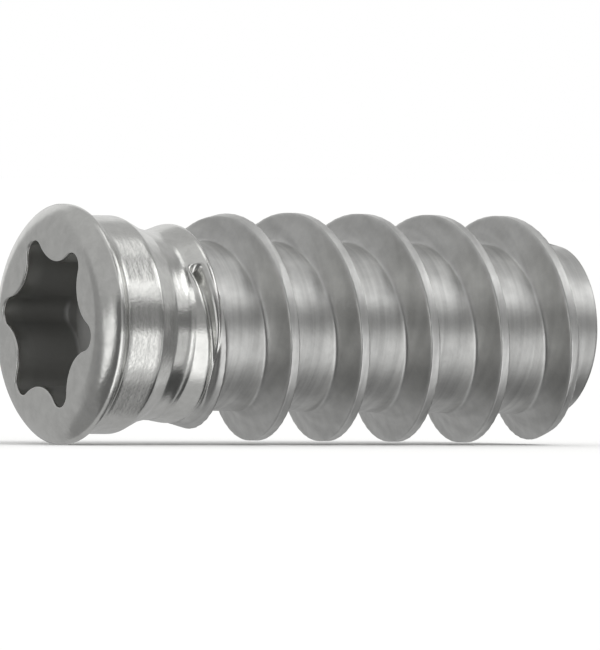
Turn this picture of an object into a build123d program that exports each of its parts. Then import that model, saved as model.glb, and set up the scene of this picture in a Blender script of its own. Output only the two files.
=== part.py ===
from build123d import *
from math import ceil, cos, radians, sin, tan
import os

# A short connecting screw: one piece of plated steel, with a low domed head, a six-lobe
# star recess, a collar and a waisted neck, and a coarse right-hand thread to a blunt end.
# Lengths are in millimetres. Stations are distances from the head's front face.
# The screw is drawn head down on the Z axis and laid along +X at the end.

# overall
screw_length = 15.35
thread_diameter = 6.0
core_diameter = 4.36
thread_pitch = 2.112

# head: a flat front, a dome out to the rim, a thin land, and a cone down to the collar
front_diameter = 4.8
rim_diameter = 6.2
dome_height = 0.42
dome_radius = 1.1
land_length = 0.14
rim_cone_length = 0.28

# neck: a collar that fills the hole, a steep fall, a waist, and a low band before the thread
collar_diameter = 5.64
collar_end = 1.85
fall_end = 2.42
fall_height = 0.12
waist_diameter = 4.84
waist_station = 2.95
band_diameter = 5.24
band_start = 3.56
band_end = 3.7
band_fall = 0.2

# corner radii along the neck, from behind the rim to the band's end
neck_radii = (0.1, 0.2, 0.5, 0.6, 0.25, 0.08)

# star recess: lobes measured point to point and hollow to hollow, over a conical floor
star_points = 6
star_across_points = 4.5
star_across_hollows = 3.27
star_point_radius = 0.37
star_turn = 39.0
star_depth = 1.9
star_floor_angle = 120.0

# thread ridge: its foot is a share of the pitch and starts just inside the core, and its
# hollow flanks leave the foot at an angle to the axis and end at a narrow crest
foot_share = 0.46
foot_sink = 0.05
foot_angle = 58.0
crest_width = 0.24
crest_station = 2.01

# the ridge rises out of the neck along a cone and is rounded off towards the tip,
# where both lifts are its height above the core
run_in_start = 3.2
run_in_lift = 0.19
run_in_end = 5.86
run_out_length = 1.75
run_out_lift = 0.17
crest_room = 0.05
tip_edge = 0.06


def turned(outline):
    """Revolve an outline of (radius, station) edges about the screw's axis."""
    return revolve(Plane.XZ * make_face(outline), Axis.Z)


def head_and_neck():
    """The plain end of the screw, from its front face to just inside the core."""
    front = (front_diameter / 2, 0)
    rim = rim_diameter / 2
    collar = collar_diameter / 2
    waist = waist_diameter / 2
    band = band_diameter / 2
    land_end = dome_height + land_length
    back = (core_diameter / 2 - band_fall, band_end + band_fall)
    neck = FilletPolyline(
        (rim, land_end),
        (collar, land_end + rim_cone_length),
        (collar, collar_end),
        (waist + fall_height, fall_end),
        (waist, waist_station),
        (band, band_start),
        (band, band_end),
        back,
        radius=neck_radii,
    )
    return turned(
        [
            Line((0, 0), front),
            RadiusArc(front, (rim, dome_height), dome_radius),
            Line((rim, dome_height), (rim, land_end)),
            neck,
            Polyline(back, (0, back[1]), (0, 0)),
        ]
    )


def star():
    """The recess's outline: point arcs and hollow arcs, tangent where they meet."""
    step = 360 / star_points
    point_centre = star_across_points / 2 - star_point_radius
    hollow_edge = star_across_hollows / 2
    # tangent arcs fix the hollow's radius
    shadow = point_centre * cos(radians(step / 2))
    square = point_centre**2 + hollow_edge**2 - 2 * hollow_edge * shadow
    hollow_radius = (square - star_point_radius**2) / (
        2 * (shadow + star_point_radius - hollow_edge)
    )
    centre = Vector(point_centre, 0)
    hollow = Vector(hollow_edge + hollow_radius, 0).rotate(Axis.Z, step / 2)
    joint = centre + (hollow - centre).normalized() * star_point_radius
    joint_before = Vector(joint.X, -joint.Y)
    tip = (star_across_points / 2, 0)
    hollow_middle = Vector(hollow_edge, 0).rotate(Axis.Z, step / 2)
    lobe = [
        ThreePointArc(joint_before, tip, joint),
        ThreePointArc(joint, hollow_middle, joint_before.rotate(Axis.Z, step)),
    ]
    arcs = [
        edge.rotate(Axis.Z, star_turn + step * n) for n in range(star_points) for edge in lobe
    ]
    return make_face(arcs)


def recess():
    """The star's straight walls and its conical floor."""
    hollow = star_across_hollows / 2
    floor = Cone(
        hollow,
        0,
        hollow / tan(radians(star_floor_angle / 2)),
        align=(Align.CENTER, Align.CENTER, Align.MIN),
    )
    return extrude(star(), star_depth) + Pos(0, 0, star_depth) * floor


def ridge():
    """The thread's ridge at its full height, from inside the collar to beyond the tip."""
    crest = thread_diameter / 2
    foot = core_diameter / 2 - foot_sink
    foot_half = foot_share * thread_pitch / 2
    across = sin(radians(foot_angle))
    along = cos(radians(foot_angle))
    flank = TangentArc((foot, -foot_half), (crest, -crest_width / 2), tangent=(across, along))
    far_flank = TangentArc((foot, foot_half), (crest, crest_width / 2), tangent=(across, -along))
    crest_line = Line(flank @ 1, far_flank @ 1)
    foot_line = Line(far_flank @ 0, flank @ 0)
    section = make_face([flank, crest_line, far_flank, foot_line])
    start = Pos(0, 0, crest_station)
    turn = Helix(thread_pitch, thread_pitch, crest)
    turns = ceil((screw_length - crest_station + foot_half) / thread_pitch)
    # one turn at a time, so that a finer or a coarser pitch joins the core as well
    path = Wire([start * Pos(0, 0, n * thread_pitch) * turn for n in range(turns)])
    return sweep(start * (Plane.XZ * section), path, is_frenet=True)


def thread_room():
    """The space that the ridge may fill: run-in cone, full height, rounded run-out."""
    core = core_diameter / 2
    full = thread_diameter / 2 + crest_room
    run_in = (core + run_in_lift, run_in_start)
    run_out_start = (full, screw_length - run_out_length)
    run_out = (core + run_out_lift, screw_length - tip_edge)
    end = (core - tip_edge, screw_length)
    return turned(
        [
            Polyline((0, run_in_start), run_in, (full, run_in_end), run_out_start),
            TangentArc(run_out_start, run_out, tangent=(0, 1)),
            Polyline(run_out, end, (0, screw_length), (0, run_in_start)),
        ]
    )


# the core and the ridge both run past the tip, and the room ends them there
core = Cylinder(
    core_diameter / 2,
    screw_length + thread_pitch,
    align=(Align.CENTER, Align.CENTER, Align.MIN),
)
shank = (core + ridge()) & thread_room()
screw = head_and_neck() + shank - recess()

# the head faces -X and the tip +X
laid = Rot(0, 90, 0) * screw

os.makedirs("parts", exist_ok=True)
export_step(laid, "parts/screw.step")
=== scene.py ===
import math

import bpy
import numpy as np
from mathutils import Matrix, Vector


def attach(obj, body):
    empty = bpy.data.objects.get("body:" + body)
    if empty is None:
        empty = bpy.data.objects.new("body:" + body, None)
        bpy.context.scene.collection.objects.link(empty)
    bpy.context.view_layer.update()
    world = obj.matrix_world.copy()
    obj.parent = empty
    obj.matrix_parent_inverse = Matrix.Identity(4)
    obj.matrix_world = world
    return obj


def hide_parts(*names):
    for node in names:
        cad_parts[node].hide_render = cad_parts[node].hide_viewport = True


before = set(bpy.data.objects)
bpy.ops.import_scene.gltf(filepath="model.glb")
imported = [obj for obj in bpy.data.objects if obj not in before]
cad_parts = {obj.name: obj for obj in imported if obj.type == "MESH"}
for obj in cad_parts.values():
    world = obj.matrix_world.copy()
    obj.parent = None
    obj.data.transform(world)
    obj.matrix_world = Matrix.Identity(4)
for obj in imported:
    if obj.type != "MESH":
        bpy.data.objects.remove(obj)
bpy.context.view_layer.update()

mm = 0.001

# what a user would change on the screw; lengths in millimetres, angles in degrees.
# Stations are distances along the axis from the head's front face, and angles round the
# axis count from underneath, over the far side and the top, to the near side.
screw = {
    "length": 15.35,
    "threadDiameter": 6.0,
    "coreDiameter": 4.36,
    "pitch": 2.112,
    # head
    "frontDiameter": 4.8,
    "rimDiameter": 6.2,
    "domeHeight": 0.42,
    "domeRadius": 1.1,
    "landLength": 0.14,
    "rimConeLength": 0.28,
    # neck, with its corner radii from the rim's edge to the band's end
    "collarDiameter": 5.64,
    "collarEnd": 1.85,
    "fallEnd": 2.42,
    "fallHeight": 0.12,
    "waistDiameter": 4.84,
    "waistStation": 2.95,
    "bandDiameter": 5.24,
    "bandStart": 3.56,
    "bandEnd": 3.7,
    "bandFall": 0.35,
    "bandEase": 0.1,  # how much less the band stands out underneath
    "neckRadii": [0.05, 0.1, 0.2, 0.5, 0.6, 0.25, 0.08],
    # star recess
    "starPoints": 6,
    "starAcrossPoints": 4.5,
    "starAcrossHollows": 3.27,
    "starPointRadius": 0.37,
    "starTurn": 39.0,
    "starDepth": 1.9,
    "floorAngle": 120.0,
    "mouthRound": 0.07,
    # thread
    "footShare": 0.46,  # of the pitch
    "footSink": 0.05,
    "footAngle": 58.0,
    "crestWidth": 0.24,
    "crestStation": 2.01,
    "crestRound": 0.1,
    "valleyRound": 0.06,
    "neckJoinRound": 0.03,
    "runInStart": 3.2,
    "runInLift": 0.19,
    "runInEnd": 5.86,
    "runOutLength": 1.75,
    "runOutLift": 0.17,
    "crestRoom": 0.05,
    "tipEdge": 0.06,
    # groove where the thread bites into the band, and the pit that it starts in
    "grooveFrom": 231.0,
    "grooveBite": 2.0,  # the angle in which it reaches its depth
    "grooveEnd": 335.0,
    "grooveFade": 60.0,  # the angle in which it fades out before its end
    "grooveOffset": 0.08,
    "grooveHalf": 0.1,
    "grooveDepth": 0.2,
    "pitDepth": 0.3,
    "pitSize": 10.0,  # the angle from its middle to where it is a third as deep
    # how finely the skin is drawn: rows of points in each stretch, and steps
    "columns": 240,
    "floorRows": 8,
    "ledgeRows": 4,
    "wallRows": 14,
    "mouthRows": 4,
    "frontRows": 6,
    "domeRows": 8,
    "endRows": 11,
    "neckStep": 0.09,
    "threadFrom": 3.05,
    "threadStep": 0.04,
    "gather": 0.45,  # spacing of the thread's rows at the crest, as a share of its step
    "floorPoint": 0.02,  # the innermost ring, as a share of the floor
    # where the finish changes, and where the recess's painted shade grows
    "recessShade": 0.6,  # into the recess, where its painted shade and its duller finish are full
    "rolledOver": 0.4,  # from the band's start, where it is fully the thread's
}


def turnsToMesh(name, stations, radii, angles):
    # a surface of rings: point j of a ring is at (station, radius * sin, -radius * cos) of
    # angle j; the first and the last ring close in a fan on one point of the axis each
    rings, columns = stations.shape
    points = np.stack([stations, radii * np.sin(angles), -radii * np.cos(angles)], axis=-1)
    points = points.reshape(-1, 3) * mm
    i, j = np.meshgrid(np.arange(rings - 1), np.arange(columns), indexing="ij")
    near = i * columns + j
    nearNext = i * columns + (j + 1) % columns
    quads = np.stack([near, near + columns, nearNext + columns, nearNext], axis=-1).reshape(-1, 4)
    startPole = len(points)
    endPole = startPole + 1
    poles = np.array([[stations[0, 0], 0, 0], [stations[-1, 0], 0, 0]]) * mm
    ring = np.arange(columns)
    following = (ring + 1) % columns
    last = (rings - 1) * columns
    startFan = np.stack([np.full(columns, startPole), ring, following], axis=-1)
    endFan = np.stack([np.full(columns, endPole), last + following, last + ring], axis=-1)
    mesh = bpy.data.meshes.new(name)
    allPoints = np.concatenate([points, poles])
    corners = np.concatenate([quads.ravel(), startFan.ravel(), endFan.ravel()])
    sizes = np.concatenate([np.full(len(quads), 4), np.full(2 * columns, 3)])
    starts = np.concatenate([[0], np.cumsum(sizes)[:-1]])
    mesh.vertices.add(len(allPoints))
    mesh.vertices.foreach_set("co", allPoints.ravel())
    mesh.loops.add(len(corners))
    mesh.loops.foreach_set("vertex_index", corners)
    mesh.polygons.add(len(sizes))
    mesh.polygons.foreach_set("loop_start", starts)
    mesh.polygons.foreach_set("use_smooth", np.ones(len(sizes), bool))
    mesh.update(calc_edges=True)
    return mesh


def pointAttribute(mesh, name, values):
    # one number a point, carried to the material under this name; the poles copy their ring
    full = np.concatenate([values.ravel(), values[0, :1], values[-1, :1]])
    layer = mesh.attributes.new(name, "FLOAT", "POINT")
    layer.data.foreach_set("value", full.astype(np.float32))


def shares(count):
    # a column of equal shares, from 0 to 1 in this many steps
    return np.linspace(0, 1, count + 1)[:, None]


def straight(start, end, step):
    # equal steps from start up to, and without, end
    count = max(1, math.ceil(np.linalg.norm(end - start) / step))
    return start + (end - start) * shares(count)[:-1]


def roundedOutline(corners, radii, step):
    # every inner corner becomes the arc that touches both its sides, and each straight
    # stretch is cut into equal steps; corners are (station, radius) pairs
    corners = [np.array(c, float) for c in corners]
    pieces = []
    start = corners[0]
    for before, corner, after, radius in zip(corners, corners[1:], corners[2:], radii):
        toBefore = (before - corner) / np.linalg.norm(before - corner)
        toAfter = (after - corner) / np.linalg.norm(after - corner)
        half = math.acos(np.clip(toBefore @ toAfter, -1, 1)) / 2
        reach = radius / math.tan(half)
        middle = toBefore + toAfter
        centre = corner + middle / np.linalg.norm(middle) * radius / math.sin(half)
        first, last = corner + toBefore * reach, corner + toAfter * reach
        pieces.append(straight(start, first, step))
        fromAngle = math.atan2(*(first - centre)[::-1])
        sweep = math.atan2(*(last - centre)[::-1]) - fromAngle
        sweep = (sweep + math.pi) % (2 * math.pi) - math.pi
        arcSteps = max(3, math.ceil(abs(sweep) * radius / step))
        t = fromAngle + sweep * shares(arcSteps)[:-1]
        pieces.append(centre + radius * np.hstack([np.cos(t), np.sin(t)]))
        start = last
    pieces.append(straight(start, corners[-1], step))
    pieces.append(corners[-1][None])
    return np.concatenate(pieces)


def smoothMax(a, b, width):
    # the larger of the two, with the corner between them rounded over this width: half of
    # their sum and of their distance, whose square has the width's square added
    return (a + b + np.sqrt((a - b) ** 2 + width**2)) / 2


def smoothMin(a, b, width):
    # the smaller of the two, rounded in the same way
    return -smoothMax(-a, -b, width)


def starRadius(angles):
    # distance from the axis to the star's outline: on a point, the far side of the point's
    # circle; between points, the near side of the hollow's circle, which touches it
    half = math.pi / screw["starPoints"]
    pointRadius = screw["starPointRadius"]
    pointCentre = screw["starAcrossPoints"] / 2 - pointRadius
    hollowEdge = screw["starAcrossHollows"] / 2
    shadow = pointCentre * math.cos(half)
    square = pointCentre**2 + hollowEdge**2 - 2 * hollowEdge * shadow
    hollowRadius = (square - pointRadius**2) / (2 * (shadow + pointRadius - hollowEdge))
    hollowCentre = hollowEdge + hollowRadius
    # the angle at which the two circles touch
    centre = np.array([pointCentre, 0])
    hollow = hollowCentre * np.array([math.cos(half), math.sin(half)])
    joint = centre + (hollow - centre) / np.linalg.norm(hollow - centre) * pointRadius
    jointAngle = math.atan2(joint[1], joint[0])
    turned = (angles - math.radians(screw["starTurn"]) + half) % (2 * half) - half
    off = np.abs(turned)
    onPoint = np.sqrt(np.clip(pointRadius**2 - (pointCentre * np.sin(off)) ** 2, 0, None))
    onPoint = pointCentre * np.cos(off) + onPoint
    fromHollow = half - off
    inHollow = hollowRadius**2 - (hollowCentre * np.sin(fromHollow)) ** 2
    inHollow = hollowCentre * np.cos(fromHollow) - np.sqrt(np.clip(inHollow, 0, None))
    return np.where(off < jointAngle, onPoint, inHollow)


def recessRows(star):
    # from the floor's point out: a cone that widens evenly to the hollows' circle, a level
    # ledge out to the star, and the wall straight up to the mouth. Each stretch is a grid
    # of stations and a grid of radii, a row of points by angle
    level = np.ones_like(star)
    hollow = screw["starAcrossHollows"] / 2
    depth = screw["starDepth"]
    floorDrop = hollow / math.tan(math.radians(screw["floorAngle"] / 2))
    mouth = screw["mouthRound"]
    t = shares(screw["floorRows"])
    cone = (depth + floorDrop * (1 - t) * level, hollow * np.maximum(t, screw["floorPoint"]) * level)
    t = shares(screw["ledgeRows"])[1:]
    ledge = (depth + 0 * t * level, hollow + (star - hollow) * t)
    t = shares(screw["wallRows"])[1:]
    wall = (mouth + (depth - mouth) * (1 - t) * level, star + 0 * t)
    return [cone, ledge, wall]


def headRows(star):
    # a quarter circle out of the mouth, the front, level from there to a circle, and the
    # dome, an arc of its own radius over the chord from that circle to the rim
    level = np.ones_like(star)
    front = screw["frontDiameter"] / 2
    rim = screw["rimDiameter"] / 2
    mouth = screw["mouthRound"]
    inner = star + mouth
    t = math.pi / 2 * shares(screw["mouthRows"])[1:]
    lip = (mouth * (1 - np.sin(t)) * level, inner - mouth * np.cos(t))
    t = shares(screw["frontRows"])[1:]
    face = (0 * t * level, inner + (front - inner) * t)
    radius = screw["domeRadius"]
    chord = np.array([screw["domeHeight"], rim - front])
    length = np.linalg.norm(chord)
    sag = math.sqrt(radius**2 - length**2 / 4)
    across = np.array([chord[1], -chord[0]]) / length
    centre = np.array([0, front]) + chord / 2 + across * sag
    startAngle = math.atan2(front - centre[1], -centre[0])
    endAngle = math.atan2(rim - centre[1], screw["domeHeight"] - centre[0])
    t = startAngle + (endAngle - startAngle) * shares(screw["domeRows"])[1:]
    dome = ((centre[0] + radius * np.cos(t)) * level, (centre[1] + radius * np.sin(t)) * level)
    return [lip, face, dome]


def neckOutline():
    # rim, collar, waist and band: straight lines whose corners are rounded, as
    # (station, radius) pairs, to be turned about the axis
    rim = screw["rimDiameter"] / 2
    collar = screw["collarDiameter"] / 2
    waist = screw["waistDiameter"] / 2
    band = screw["bandDiameter"] / 2
    fall = screw["bandFall"]
    landEnd = screw["domeHeight"] + screw["landLength"]
    corners = [
        (screw["domeHeight"], rim),
        (landEnd, rim),
        (landEnd + screw["rimConeLength"], collar),
        (screw["collarEnd"], collar),
        (screw["fallEnd"], waist + screw["fallHeight"]),
        (screw["waistStation"], waist),
        (screw["bandStart"], band),
        (screw["bandEnd"], band),
        (screw["bandEnd"] + fall, screw["coreDiameter"] / 2 - fall),
    ]
    return roundedOutline(corners, screw["neckRadii"], screw["neckStep"])


def ridgeRadius(away):
    # the thread's flank at a distance from the crest's middle: an arc that leaves the foot
    # at the foot's angle and ends at the crest's edge, with a flat crest above it
    foot = screw["coreDiameter"] / 2 - screw["footSink"]
    crest = screw["threadDiameter"] / 2
    footHalf = screw["footShare"] * screw["pitch"] / 2
    run = footHalf - screw["crestWidth"] / 2
    rise = crest - foot
    lean = math.radians(screw["footAngle"])
    radius = (run**2 + rise**2) / (2 * (rise * math.cos(lean) - run * math.sin(lean)))
    centreRun, centreRise = -radius * math.sin(lean), foot + radius * math.cos(lean)
    along = np.clip(footHalf - away, 0, run)
    flank = centreRise - np.sqrt(radius**2 - (along - centreRun) ** 2)
    return smoothMin(flank, crest, screw["crestRound"])


def roomRadius(stations):
    # how far out the ridge may reach: a cone where it rises, level, then an arc at the tip
    core = screw["coreDiameter"] / 2
    full = screw["threadDiameter"] / 2 + screw["crestRoom"]
    runOutStart = screw["length"] - screw["runOutLength"]
    rising = np.interp(
        stations, [screw["runInStart"], screw["runInEnd"]], [core + screw["runInLift"], full]
    )
    drop = full - core - screw["runOutLift"]
    reach = screw["runOutLength"] - screw["tipEdge"]
    radius = (drop**2 + reach**2) / (2 * drop)
    past = np.clip(stations - runOutStart, 0, reach)
    return rising - radius + np.sqrt(radius**2 - past**2)


def fromCrest(stations, crestAt):
    # signed distance to the nearest turn of the crest, never more than half a pitch
    half = screw["pitch"] / 2
    return (stations - crestAt + half) % (2 * half) - half


def gatheredRows(stations, crestAt):
    # draws the rows of points together along the ridge: the distance from the crest is
    # shrunk near it and grows back by its cube, to the same half pitch; no shift at the ends
    half = screw["pitch"] / 2
    away = fromCrest(stations, crestAt) / half
    shift = (1 - screw["gather"]) * (away**3 - away) * half
    first, last = stations[0, 0], stations[-1, 0]
    return stations + shift * np.clip(np.minimum(stations - first, last - stations), 0, 1)


def grooveStart(stations, angles, crestAt):
    # where the rolled groove bites into the band: a narrow hollow just before the first
    # crest, a bell curve across, which starts at once, deepest there, and fades as it
    # follows the helix
    degrees = np.degrees(angles)
    off = (stations - crestAt + screw["grooveOffset"]) / screw["grooveHalf"]
    started = np.clip((degrees - screw["grooveFrom"]) / screw["grooveBite"], 0, 1)
    fading = np.clip((screw["grooveEnd"] - degrees) / screw["grooveFade"], 0, 1)
    pit = np.exp(-(((degrees - screw["grooveFrom"]) / screw["pitSize"]) ** 2))
    depth = screw["grooveDepth"] * fading + screw["pitDepth"] * pit
    return depth * started * np.exp(-(off**2))


def threadRows(outline, angles):
    # at each station and angle, the outermost of neck, core and ridge, less the groove; the
    # crest moves on by a pitch in a turn, and the ridge's height is its distance's flank
    core = screw["coreDiameter"] / 2
    first, last = screw["threadFrom"], screw["length"] - screw["tipEdge"]
    rows = math.ceil((last - first) / screw["threadStep"])
    stations = first + (last - first) * shares(rows) * np.ones_like(angles)
    crestAt = screw["crestStation"] + screw["pitch"] * angles / (2 * math.pi)
    stations = gatheredRows(stations, crestAt)
    ridge = ridgeRadius(np.abs(fromCrest(stations, crestAt)))
    ridge = np.minimum(ridge, roomRadius(stations))
    shank = smoothMax(core, ridge, screw["valleyRound"])
    neck = np.interp(stations, outline[:, 0], outline[:, 1], right=0)
    onBand = np.interp(stations, [screw["waistStation"], screw["bandStart"]], [0, 1])
    neck = neck - screw["bandEase"] * onBand * (1 + np.cos(angles)) / 2
    outer = smoothMax(neck, shank, screw["neckJoinRound"])
    return stations, outer - grooveStart(stations, angles, crestAt)


def endRows(angles):
    # a level disc, from the small bevel at the core's edge in towards the axis
    t = (1 - shares(screw["endRows"])[:-1]) * np.ones_like(angles)
    return screw["length"] + 0 * t, (screw["coreDiameter"] / 2 - screw["tipEdge"]) * t


def buildScrew():
    # one closed skin, from the recess's floor up its wall, over the front, down the neck
    # and along the thread to the end
    angles = 2 * math.pi * np.arange(screw["columns"]) / screw["columns"]
    level = np.ones_like(angles)
    star = starRadius(angles)
    inside = recessRows(star)
    outline = neckOutline()
    plain = outline[1:][outline[1:, 0] < screw["threadFrom"]]
    neck = (plain[:, :1] * level, plain[:, 1:] * level)
    stretches = inside + headRows(star) + [neck, threadRows(outline, angles), endRows(angles)]
    stations = np.concatenate([stretch[0] for stretch in stretches])
    radii = np.concatenate([stretch[1] for stretch in stretches])
    insideRows = sum(len(stretch[0]) for stretch in inside)
    # painted shade in the star recess, darker towards its floor; the same mask makes it rougher
    recessShadeAndRoughness = np.clip(stations / screw["recessShade"], 0, 1)
    recessShadeAndRoughness[insideRows:] = 0
    core, crest = screw["coreDiameter"] / 2, screw["threadDiameter"] / 2
    mesh = turnsToMesh("screw_skin", stations, radii, angles)
    pointAttribute(mesh, "recess", recessShadeAndRoughness)
    pointAttribute(mesh, "height", (radii - core) / (crest - core))
    rolled = np.clip((stations - screw["bandStart"]) / screw["rolledOver"], 0, 1)
    pointAttribute(mesh, "rolled", rolled)
    return mesh


def linear(hexColour):
    # an sRGB colour such as "#c8c8c4" as linear red, green, blue and alpha
    parts = [int(hexColour[n : n + 2], 16) / 255 for n in (1, 3, 5)]
    return [c / 12.92 if c <= 0.04045 else ((c + 0.055) / 1.055) ** 2.4 for c in parts] + [1]


def addNode(tree, kind, settings=None, inputs=None):
    # one node with its settings; an input is a value, or another node's output to link
    node = tree.nodes.new(kind)
    for key, value in (settings or {}).items():
        setattr(node, key, value)
    for key, value in (inputs or {}).items():
        if isinstance(value, bpy.types.NodeSocket):
            tree.links.new(value, node.inputs[key])
        else:
            node.inputs[key].default_value = value
    return node


def newMaterial(name):
    # an empty material, for its nodes to be added
    material = bpy.data.materials.new(name)
    material.use_nodes = True
    material.node_tree.nodes.clear()
    return material, material.node_tree


# finish of the screw, with painted shade in its recess; sizes in millimetres
plating = {
    "neck": "#e6e6e3",
    "thread": "#dededc",
    "worn": "#ececea",  # the crests, rubbed bright
    "wornFrom": 0.8,  # of the ridge's height
    # the recess's colour: painted shade, darker than the neck's
    "recess": "#c4c4c2",
    "mottleSize": 0.4,  # patches of brighter and duller zinc
    "mottleSpread": 0.15,  # either side of even, from all dull to all bright
    "mottle": 0.1,  # how much darker a dull patch is
    "grainSize": 0.09,  # really about 0.01, and drawn coarser to show
    "lineSpacing": 0.16,  # rolling lines, really about 0.05 apart and drawn coarser to show
    "lineLength": 3.0,
    "lineSpread": 0.15,
    "lineShade": 0.16,  # how much darker a line is on the thread
    "neckRoughness": 0.2,
    "threadRoughness": 0.36,
    "recessRoughness": 0.6,
    "patchRoughness": 0.04,  # how much rougher a dull patch is
    "bumpStrength": 0.25,
    "bumpHeight": 0.01,
}


def platedSteel():
    # bright zinc-plated steel, cold formed and rolled: a pale neutral metal, cleaner on the
    # formed neck and duller on the rolled thread, whose reflections are soft, slightly
    # patchy and drawn out by fine lines round the axis
    # the star recess is darkened towards its floor with painted shade
    material, tree = newMaterial("bright zinc-plated steel")
    place = addNode(tree, "ShaderNodeTexCoord").outputs["Object"]
    perMetre = 1 / mm
    even = 0.5  # a noise's middle value

    # dull patches, a fine grain, and lines that are stretched along the circumference
    mottleScale = perMetre / plating["mottleSize"]
    patches = addNode(
        tree,
        "ShaderNodeTexNoise",
        {},
        {"Vector": place, "Scale": mottleScale, "Detail": 4.0, "Roughness": 0.6},
    ).outputs["Fac"]
    spread = plating["mottleSpread"]
    dull = addNode(
        tree,
        "ShaderNodeMapRange",
        {},
        {"Value": patches, "From Min": even + spread, "From Max": even - spread},
    ).outputs["Result"]
    grain = addNode(
        tree,
        "ShaderNodeTexNoise",
        {},
        {"Vector": place, "Scale": perMetre / plating["grainSize"], "Detail": 2.0},
    ).outputs["Fac"]
    fine, drawn = perMetre / plating["lineSpacing"], perMetre / plating["lineLength"]
    stretched = addNode(
        tree, "ShaderNodeMapping", {}, {"Vector": place, "Scale": (fine, drawn, drawn)}
    ).outputs["Vector"]
    lines = addNode(
        tree, "ShaderNodeTexNoise", {}, {"Vector": stretched, "Scale": 1.0, "Detail": 2.0}
    ).outputs["Fac"]

    # where the skin is rolled thread, recess with its painted shade, or worn crest
    rolled, recess, height = [
        addNode(tree, "ShaderNodeAttribute", {"attribute_name": name}).outputs["Fac"]
        for name in ("rolled", "recess", "height")
    ]
    worn = addNode(
        tree,
        "ShaderNodeMapRange",
        {},
        {"Value": height, "From Min": plating["wornFrom"], "From Max": 1.0},
    ).outputs["Result"]
    onCrest = addNode(
        tree, "ShaderNodeMath", {"operation": "MULTIPLY"}, {0: worn, 1: rolled}
    ).outputs["Value"]

    # how much the thread's lines and the dull patches darken the zinc
    lineShade = addNode(
        tree, "ShaderNodeMapRange", {}, {"Value": rolled, "To Max": plating["lineShade"]}
    ).outputs["Result"]
    spread = plating["lineSpread"]
    line = addNode(
        tree,
        "ShaderNodeMapRange",
        {},
        {"Value": lines, "From Min": even - spread, "From Max": even + spread, "To Max": lineShade},
    ).outputs["Result"]
    patch = addNode(
        tree, "ShaderNodeMapRange", {}, {"Value": dull, "To Max": plating["mottle"]}
    ).outputs["Result"]
    shade = addNode(
        tree, "ShaderNodeMath", {"operation": "ADD"}, {0: line, 1: patch}
    ).outputs["Value"]

    # the neck's colour, then each other colour laid over it by its amount; the recess's is painted
    # shade
    zinc = linear(plating["neck"])
    for amount, tint in (
        (rolled, plating["thread"]),
        (onCrest, plating["worn"]),
        (shade, "#000000"),
        (recess, plating["recess"]),
    ):
        zinc = addNode(
            tree, "ShaderNodeMix", {"data_type": "RGBA"}, {0: amount, 6: zinc, 7: linear(tint)}
        ).outputs[2]

    # the roughness goes the same way, and a dull patch adds a little
    rough = plating["neckRoughness"]
    for amount, roughness in (
        (rolled, plating["threadRoughness"]),
        (recess, plating["recessRoughness"]),
    ):
        rough = addNode(
            tree,
            "ShaderNodeMapRange",
            {},
            {"Value": amount, "To Min": rough, "To Max": roughness},
        ).outputs["Result"]
    rough = addNode(
        tree,
        "ShaderNodeMath",
        {"operation": "MULTIPLY_ADD"},
        {0: dull, 1: plating["patchRoughness"], 2: rough},
    ).outputs["Value"]

    texture = addNode(
        tree, "ShaderNodeMath", {"operation": "ADD"}, {0: grain, 1: lines}
    ).outputs["Value"]
    bump = addNode(
        tree,
        "ShaderNodeBump",
        {},
        {
            "Height": texture,
            "Strength": plating["bumpStrength"],
            "Distance": plating["bumpHeight"] * mm,
        },
    ).outputs["Normal"]
    shader = addNode(
        tree,
        "ShaderNodeBsdfPrincipled",
        {},
        {"Base Color": zinc, "Metallic": 1.0, "Roughness": rough, "Normal": bump},
    )
    addNode(tree, "ShaderNodeOutputMaterial", {}, {"Surface": shader.outputs["BSDF"]})
    return material


print("screw: building the skin")
piece = bpy.data.objects.new("screw_skin", buildScrew())
bpy.context.scene.collection.objects.link(piece)
piece.data.materials.append(platedSteel())
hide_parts("screw")
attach(piece, "root")
print("screw:", len(piece.data.polygons), "faces")

# the studio; lengths in millimetres, angles in degrees
studio = {
    "floorSize": 4000.0,
    "floorColour": "#f8f8f7",
    "fill": 0.82,  # the world's light on the floor, where 1 is white
    "keyAzimuth": 25.0,
    "keyElevation": 50.0,
    "keySpread": 30.0,
    "keyPower": 1.1,
    "tentRadius": 150.0,
    # camera
    "azimuth": -30.9,
    "elevation": 0.3,
    "roll": 0.85,
    "view": 16.83,  # the width that it sees at the target
    "distance": 600.0,
    "target": (7.61, 0.0, 0.05),
}


def buildFloor():
    # one flat sheet that the rim and the last crests rest on, so it rises slightly towards
    # the tip, by the difference of their radii over the distance between them
    rim, crest = screw["rimDiameter"] / 2, screw["threadDiameter"] / 2
    rimStation = screw["domeHeight"]
    crestStation = screw["length"] - screw["runOutLength"]
    slope = (rim - crest) / (crestStation - rimStation)
    size = studio["floorSize"] / 2
    corner = np.array([[-size, -size], [size, -size], [size, size], [-size, size]])
    height = -rim + slope * (corner[:, 0] - rimStation)
    mesh = bpy.data.meshes.new("floor")
    mesh.from_pydata((np.column_stack([corner, height]) * mm).tolist(), [], [(0, 1, 2, 3)])
    return bpy.data.objects.new("floor", mesh)


def paleFloor():
    # matt white card, which keeps the screw's soft shadow
    material, tree = newMaterial("matt white card")
    card = addNode(tree, "ShaderNodeBsdfDiffuse", {}, {"Color": linear(studio["floorColour"])})
    addNode(tree, "ShaderNodeOutputMaterial", {}, {"Surface": card.outputs["BSDF"]})
    return material


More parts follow.
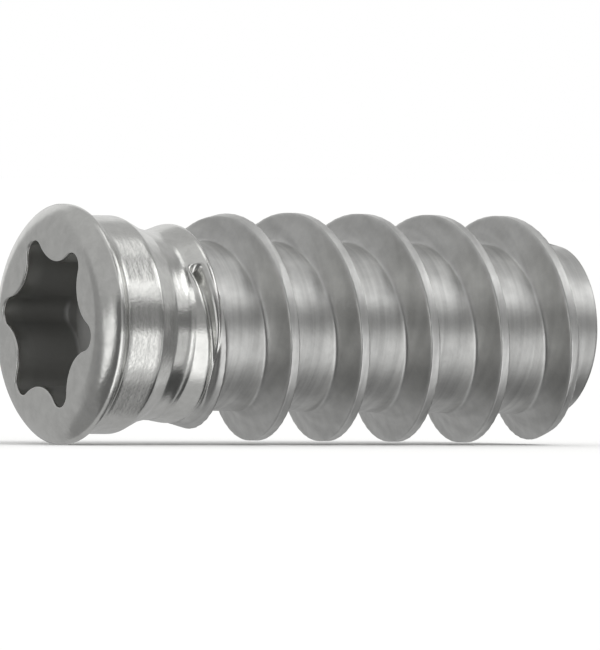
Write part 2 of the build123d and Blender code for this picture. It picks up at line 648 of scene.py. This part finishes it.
def lightWorld():
    # white to the eye and in reflections, and a plain soft fill for the floor
    world = bpy.data.worlds.new("studio")
    world.use_nodes = True
    tree = world.node_tree
    tree.nodes.clear()
    path = addNode(tree, "ShaderNodeLightPath")
    seen = path.outputs["Is Camera Ray"]
    for ray in ("Is Glossy Ray", "Is Transmission Ray"):
        seen = addNode(
            tree,
            "ShaderNodeMath",
            {"operation": "MAXIMUM"},
            {0: seen, 1: path.outputs[ray]},
        ).outputs["Value"]
    strength = addNode(
        tree,
        "ShaderNodeMapRange",
        {},
        {"Value": seen, "To Min": studio["fill"], "To Max": 1.0},
    ).outputs["Result"]
    light = addNode(
        tree, "ShaderNodeBackground", {}, {"Color": linear("#ffffff"), "Strength": strength}
    )
    addNode(tree, "ShaderNodeOutputWorld", {}, {"Surface": light.outputs["Background"]})
    bpy.context.scene.world = world


# the light tent that the metal reflects: strips of card along the screw, each from one
# angle to another about its axis, counted up from the near side, and from one place to
# another along it, with its brightness, where 1 is white
cards = [
    {"name": "low front card", "angles": (-62, -6), "along": (-20, 50), "level": 1.25},
    {"name": "left gap", "angles": (-6, 34), "along": (-20, 50), "level": 0.35},
    {"name": "upper front card", "angles": (34, 100), "along": (-20, 50), "level": 0.6},
    {"name": "below strip", "angles": (-62, -46), "along": (50, 90), "level": 0.7},
    {"name": "low strip", "angles": (-46, -6), "along": (50, 90), "level": 1.5},
    {"name": "front gap", "angles": (-6, 28), "along": (50, 90), "level": 0.3},
    {"name": "upper strip", "angles": (28, 46), "along": (50, 90), "level": 1.4},
    {"name": "dark bar", "angles": (46, 74), "along": (50, 90), "level": 0.05},
    {"name": "high strip", "angles": (74, 100), "along": (50, 90), "level": 1.3},
    {"name": "low middle card", "angles": (-62, -6), "along": (90, 180), "level": 0.4},
    {"name": "right gap", "angles": (-6, 24), "along": (90, 260), "level": 0.15},
    {"name": "middle card", "angles": (24, 42), "along": (90, 180), "level": 0.6},
    {"name": "middle window", "angles": (42, 74), "along": (90, 130), "level": 1.5},
    {"name": "window", "angles": (42, 74), "along": (130, 180), "level": 2.5},
    {"name": "above window", "angles": (74, 100), "along": (90, 260), "level": 0.3},
    {"name": "low right card", "angles": (-62, -6), "along": (180, 260), "level": 0.8},
    {"name": "right window", "angles": (24, 74), "along": (180, 260), "level": 0.9},
    {"name": "dark left card", "angles": (-90, 26), "along": (-250, -20), "level": 0.14},
    {"name": "left strip", "angles": (-90, 26), "along": (-1500, -250), "level": 1.1},
    {"name": "left card", "angles": (26, 100), "along": (-600, -20), "level": 0.45},
    {"name": "top card", "angles": (100, 140), "along": (-600, 260), "level": 0.48},
    {"name": "backdrop", "angles": (140, 180), "along": (-20, 260), "level": 0.8},
    {"name": "rear left card", "angles": (140, 225), "along": (-200, -20), "level": 0.42},
    {"name": "far rear left card", "angles": (140, 225), "along": (-600, -200), "level": 0.28},
    {"name": "rear floor", "angles": (180, 250), "along": (-20, 260), "level": 0.42},
    {"name": "under card", "angles": (250, 298), "along": (-20, 90), "level": 0.45},
    {"name": "under right card", "angles": (245, 298), "along": (90, 260), "level": 0.06},
    {"name": "under left card", "angles": (225, 270), "along": (-600, -20), "level": 0.25},
    {"name": "far right low card", "angles": (-90, 58), "along": (260, 1500), "level": 0.2},
    {"name": "far right card", "angles": (58, 270), "along": (260, 1500), "level": 0.65},
    {"name": "far left card", "angles": (26, 270), "along": (-1500, -600), "level": 0.3},
]


def buildCard(card):
    # part of a cylinder about the screw's axis, cut into flat strips along it
    steps = 24
    angle = np.radians(np.linspace(*card["angles"], steps + 1))
    radius = studio["tentRadius"]
    ring = np.stack([0 * angle, -radius * np.cos(angle), radius * np.sin(angle)], axis=-1)
    left, right = [ring + [along, 0, 0] for along in card["along"]]
    n = np.arange(steps)
    faces = np.stack([n, n + 1, n + steps + 2, n + steps + 1], axis=-1)
    mesh = bpy.data.meshes.new(card["name"])
    mesh.from_pydata((np.concatenate([left, right]) * mm).tolist(), [], faces.tolist())
    material, tree = newMaterial(card["name"])
    glow = addNode(
        tree, "ShaderNodeEmission", {}, {"Color": linear("#ffffff"), "Strength": card["level"]}
    )
    addNode(tree, "ShaderNodeOutputMaterial", {}, {"Surface": glow.outputs["Emission"]})
    mesh.materials.append(material)
    thing = bpy.data.objects.new(card["name"], mesh)
    thing.visible_camera = False
    thing.visible_diffuse = False
    thing.visible_shadow = False
    return thing


def buildKey():
    # a soft lamp from above, in front and to the right, for the floor and the shadow
    lamp = bpy.data.lights.new("key", "SUN")
    lamp.energy = studio["keyPower"]
    lamp.angle = math.radians(studio["keySpread"])
    thing = bpy.data.objects.new("key", lamp)
    a, e = math.radians(studio["keyAzimuth"]), math.radians(studio["keyElevation"])
    back = Vector((math.sin(a) * math.cos(e), -math.cos(a) * math.cos(e), math.sin(e)))
    thing.rotation_euler = back.to_track_quat("Z", "Y").to_euler()
    thing.visible_glossy = False
    return thing


def placeCamera():
    # a long lens, level with the axis but for a little, and rolled so that the axis falls
    lens = bpy.data.cameras.new("camera")
    lens.sensor_width = 36.0
    lens.lens = lens.sensor_width * studio["distance"] / studio["view"]
    lens.clip_start, lens.clip_end = 0.01, 10.0
    camera = bpy.data.objects.new("camera", lens)
    a, e = math.radians(studio["azimuth"]), math.radians(studio["elevation"])
    back = Vector((math.sin(a) * math.cos(e), -math.cos(a) * math.cos(e), math.sin(e)))
    turn = back.to_track_quat("Z", "Y").to_matrix() @ Matrix.Rotation(
        math.radians(studio["roll"]), 3, "Z"
    )
    target = Vector(studio["target"]) * mm
    camera.matrix_world = (
        Matrix.Translation(target + back * studio["distance"] * mm) @ turn.to_4x4()
    )
    return camera


print("studio: floor, cards, lamps and camera")
floor = buildFloor()
floor.data.materials.append(paleFloor())
floor.visible_glossy = False  # the tent's lower cards are what the metal reflects there
stage = [floor] + [buildCard(card) for card in cards]
stage.append(buildKey())
camera = placeCamera()
for thing in stage + [camera]:
    bpy.context.scene.collection.objects.link(thing)
lightWorld()
bpy.context.scene.camera = camera
bpy.context.scene.view_settings.view_transform = "Standard"
